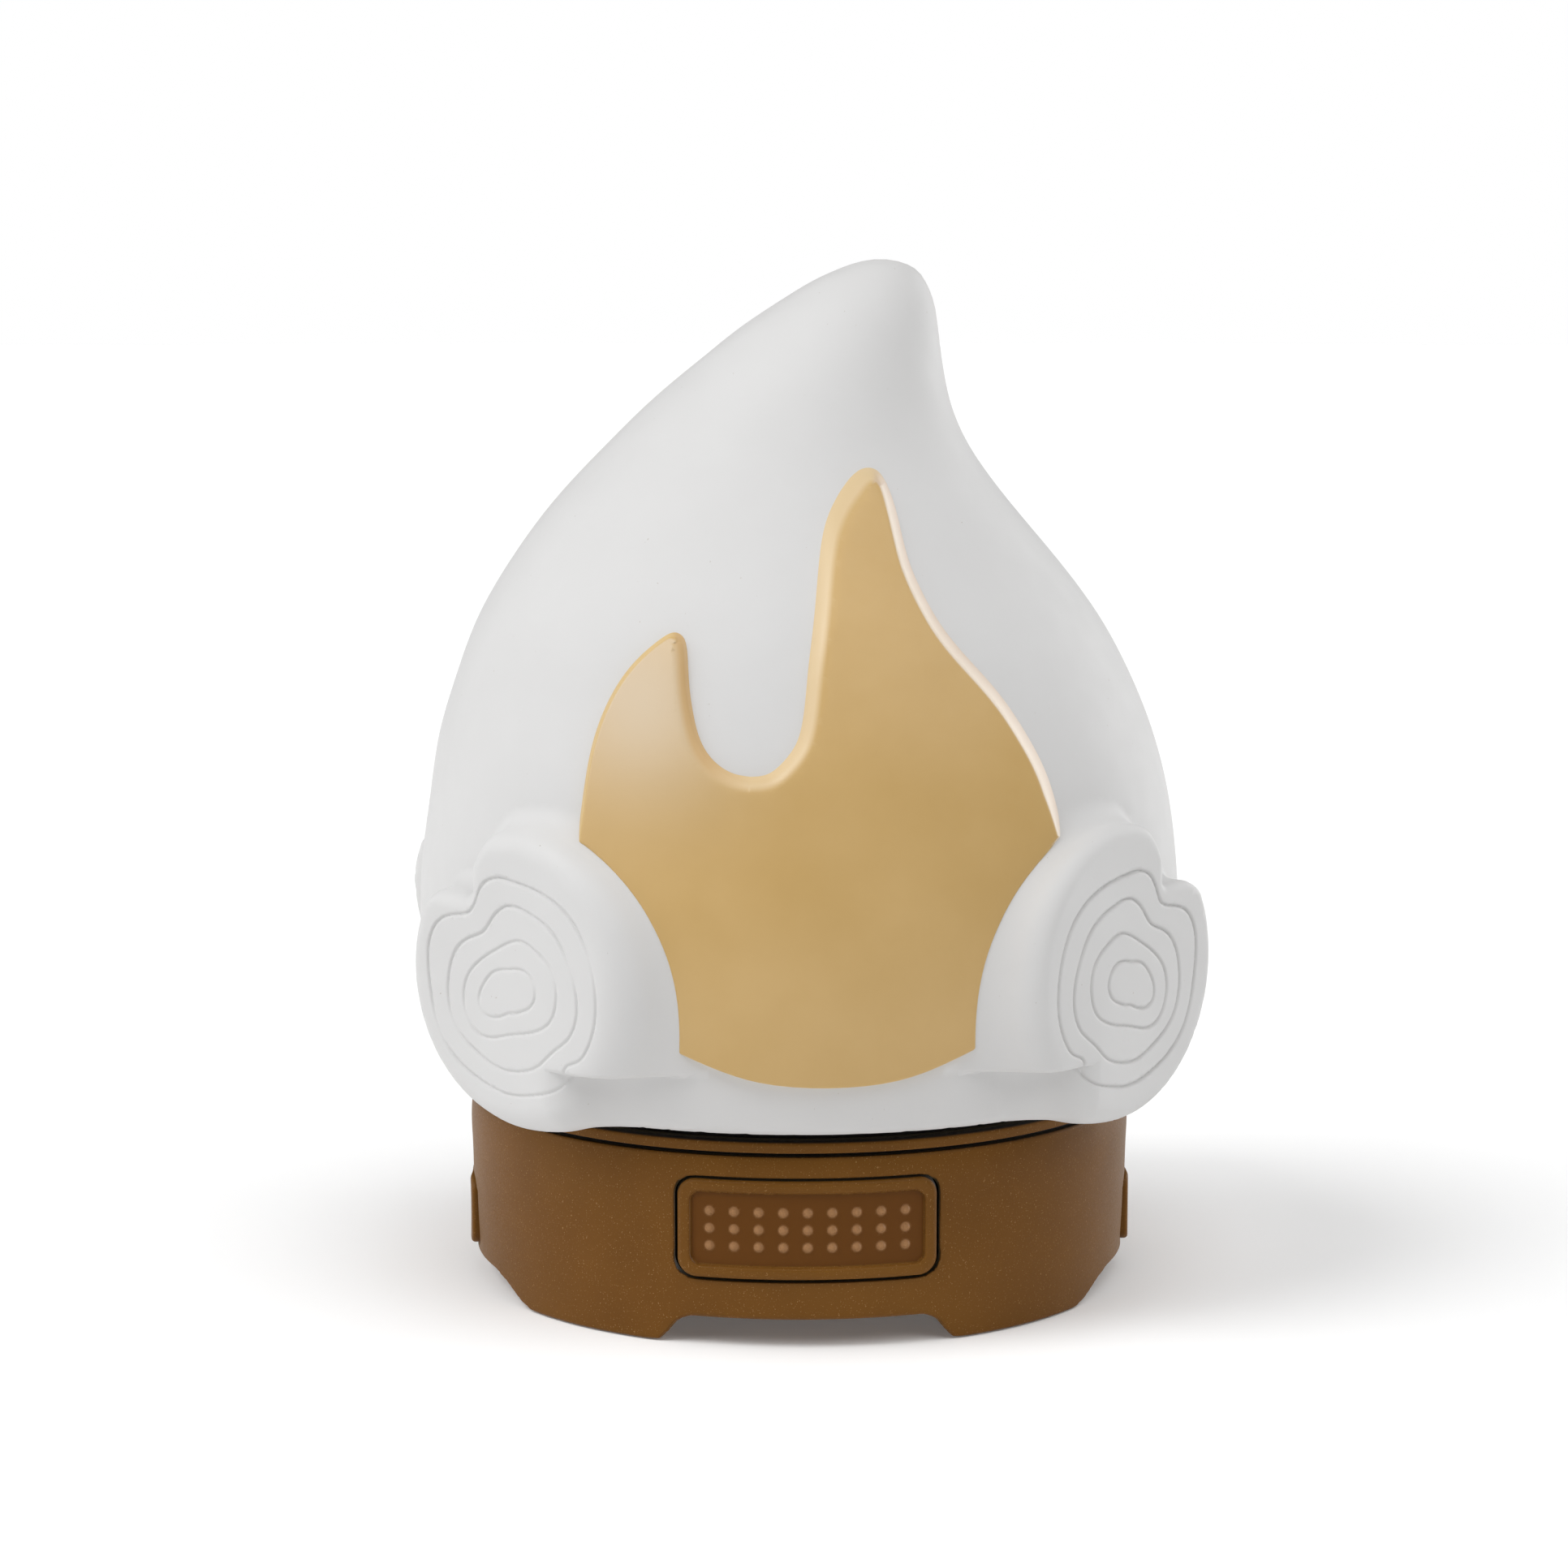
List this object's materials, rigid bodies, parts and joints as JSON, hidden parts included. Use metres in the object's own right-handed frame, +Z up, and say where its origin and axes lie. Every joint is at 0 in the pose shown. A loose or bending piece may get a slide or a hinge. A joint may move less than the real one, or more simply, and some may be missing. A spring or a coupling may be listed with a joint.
{
  "type": "cool mist humidifier",
  "caption": "Tabletop ultrasonic cool mist humidifier: a white ceramic camp-fire cover of a flame on crossed logs, with a gold flame panel, over a round brown water base with buttons.",
  "frame": {"origin": "on the table, under the middle of the round base", "axes": "+Z up, -Y to the front where the gold flame and the wide button are, +X to the right as seen from the front"},
  "size_m": [0.1359, 0.136, 0.1765],
  "materials": {
    "white_ceramic": "smooth matt glaze",
    "gold_glaze": "satin gold glaze",
    "milky_plastic": "translucent, satin",
    "brown_plastic": "fine satin, wood brown",
    "seal_rubber": "soft, matt",
    "foot_rubber": "matt",
    "screw_steel": "plated",
    "black_plastic": "moulded, satin",
    "circuit_board": "solder mask, satin",
    "ferrite": "matt",
    "can_aluminium": "satin",
    "contact_brass": "bright",
    "disc_metal": "bright",
    "white_plastic": "glossy",
    "lead_insulation": "soft, satin"
  },
  "bodies": {
    "base": {"base_shell": "brown_plastic", "top_ring": "brown_plastic", "water_tank": "milky_plastic", "bottom_plate": "brown_plastic", "rubber_feet": "foot_rubber", "bottom_screws": "screw_steel", "tank_seal": "seal_rubber", "front_switch": "black_plastic", "left_switch": "black_plastic", "right_switch": "black_plastic", "front_switch_board": "circuit_board", "left_switch_board": "circuit_board", "right_switch_board": "circuit_board", "main_board": "circuit_board", "board_screws": "screw_steel", "driver_chip": "black_plastic", "power_coil": "ferrite", "capacitors": "can_aluminium", "power_inlet": "black_plastic", "inlet_pin": "contact_brass", "fan_frame": "black_plastic", "fan_stator": "contact_brass", "fan_gasket": "seal_rubber", "fan_screws": "screw_steel", "mist_disc": "disc_metal", "disc_seal": "seal_rubber", "disc_retainer": "white_plastic", "retainer_screws": "screw_steel", "led_board": "circuit_board", "leds": "white_plastic", "led_screws": "screw_steel", "fan_lead": "lead_insulation", "disc_lead": "lead_insulation", "led_lead": "lead_insulation", "switch_leads": "lead_insulation"},
    "ceramic_cover": {"cover": "white_ceramic", "flame_panel": "gold_glaze"},
    "lid": {"inner_lid": "milky_plastic"},
    "front_button": {"front_button": "brown_plastic"},
    "left_button": {"left_button": "brown_plastic"},
    "right_button": {"right_button": "brown_plastic"},
    "fan_rotor": {"fan_rotor": "black_plastic"}
  },
  "joints": [
    {"name": "cover_lift", "type": "slide", "parent": "base", "child": "ceramic_cover", "axis": [0, 0, 1], "range_m": [0, 0.06]},
    {"name": "lid_lift", "type": "slide", "parent": "base", "child": "lid", "axis": [0, 0, 1], "range_m": [0, 0.03]},
    {"name": "front_press", "type": "slide", "parent": "base", "child": "front_button", "axis": [0, 1, 0], "range_m": [0, 0.0008], "stiffness_N_per_m": 400, "springref_m": -0.0004},
    {"name": "left_press", "type": "slide", "parent": "base", "child": "left_button", "axis": [1, 0, 0], "range_m": [0, 0.0008], "stiffness_N_per_m": 400, "springref_m": -0.0004},
    {"name": "right_press", "type": "slide", "parent": "base", "child": "right_button", "axis": [-1, 0, 0], "range_m": [0, 0.0008], "stiffness_N_per_m": 400, "springref_m": -0.0004},
    {"name": "fan_spin", "type": "hinge", "parent": "base", "child": "fan_rotor", "pos_m": [-0.033, 0, 0.0123], "axis": [0, 0, 1], "continuous": true}
  ]
}
